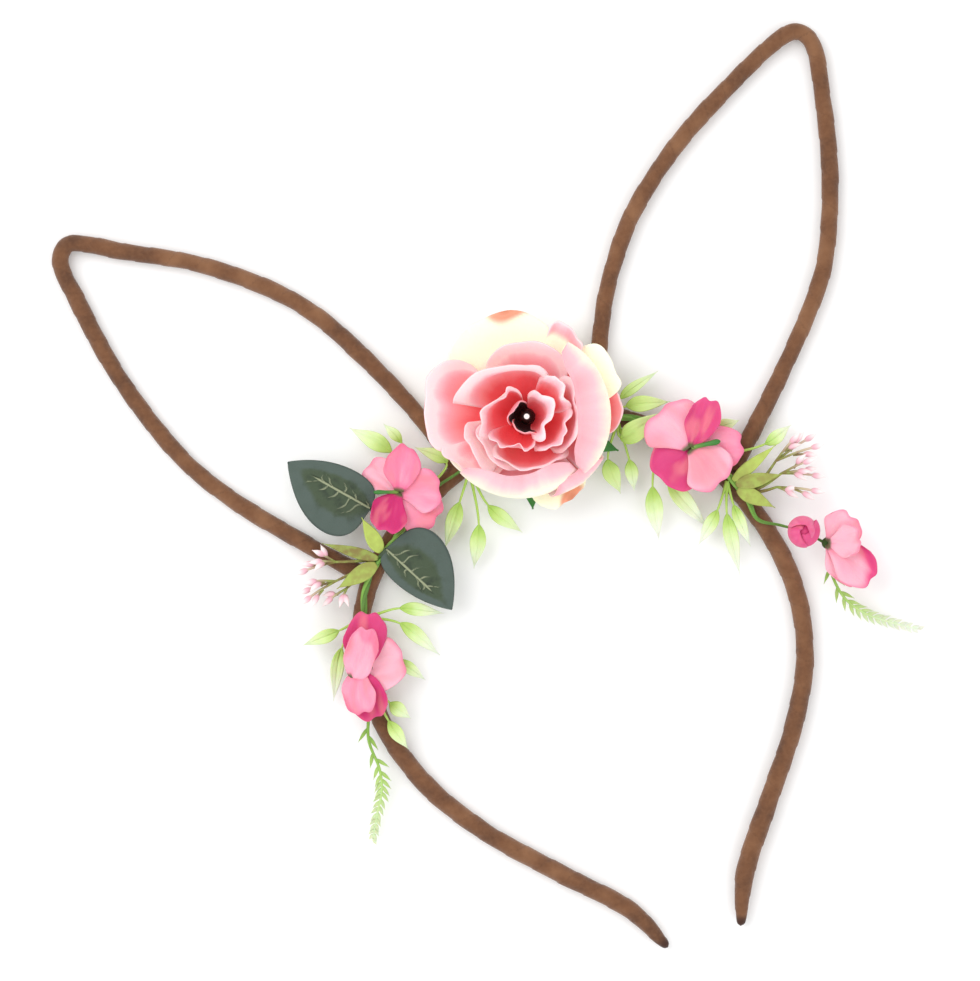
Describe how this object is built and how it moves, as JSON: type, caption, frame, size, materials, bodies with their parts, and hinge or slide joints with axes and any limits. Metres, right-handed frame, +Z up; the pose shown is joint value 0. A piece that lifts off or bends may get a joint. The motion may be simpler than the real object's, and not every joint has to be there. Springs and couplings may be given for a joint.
{
  "type": "bunny ears headband",
  "caption": "Ribbon-wound wire headband with tall wire bunny ears and a garland of a fabric rose, small blossoms, leaves and bud sprigs along the top.",
  "frame": {"origin": "centre of the headband's box, on the surface that it lies on", "axes": "+Y from the ends of the band to the tips of the ears, +Z up out of the flowers, +X to the right as seen from the front"},
  "size_m": [0.2393, 0.259, 0.029],
  "materials": {
    "ribbon": "matt brown ribbon wound on the wire",
    "stem": "green moulded stem",
    "spray": "light green moulded leaf",
    "twig": "green-brown twig with pale buds",
    "calyx": "green moulded calyx",
    "leaf_dark": "dark slate-green cloth with pressed veins",
    "petal_cream": "cream cloth, pink at the edge",
    "petal_pink": "pink cloth",
    "petal_coral": "coral cloth",
    "blossom_pink": "light pink cloth, deeper at the edge",
    "blossom_deep": "magenta cloth",
    "heart": "dark glossy bead"
  },
  "bodies": {
    "root": {"band": "ribbon", "ear_left": "ribbon", "ear_right": "ribbon", "stem_left": "stem", "stem_right": "stem", "pistil_upper_left": "stem", "pistil_upper_right": "stem", "rose_calyx": "calyx", "rose_outer": "petal_cream", "rose_second": "petal_pink", "rose_third": "petal_pink", "rose_fourth": "petal_coral", "rose_inner": "petal_coral", "rose_heart": "heart", "blossom_upper_left": "blossom_pink", "blossom_lower_left": "blossom_pink", "blossom_upper_right": "blossom_pink", "blossom_lower_right": "blossom_pink", "bud_lower_right": "blossom_deep", "leaf_upper": "leaf_dark", "leaf_lower": "leaf_dark", "spray_upper_left": "spray", "spray_under_rose": "spray", "spray_right_of_rose": "spray", "spray_beside_rose": "spray", "spray_under_right": "spray", "spray_right_inner": "spray", "spray_right_outer": "spray", "spray_left_outer": "spray", "spray_left_inner": "spray", "spray_tail_left": "spray", "fern_left": "spray", "fern_right": "spray", "sprig_left": "twig", "sprig_right": "twig"}
  },
  "joints": []
}
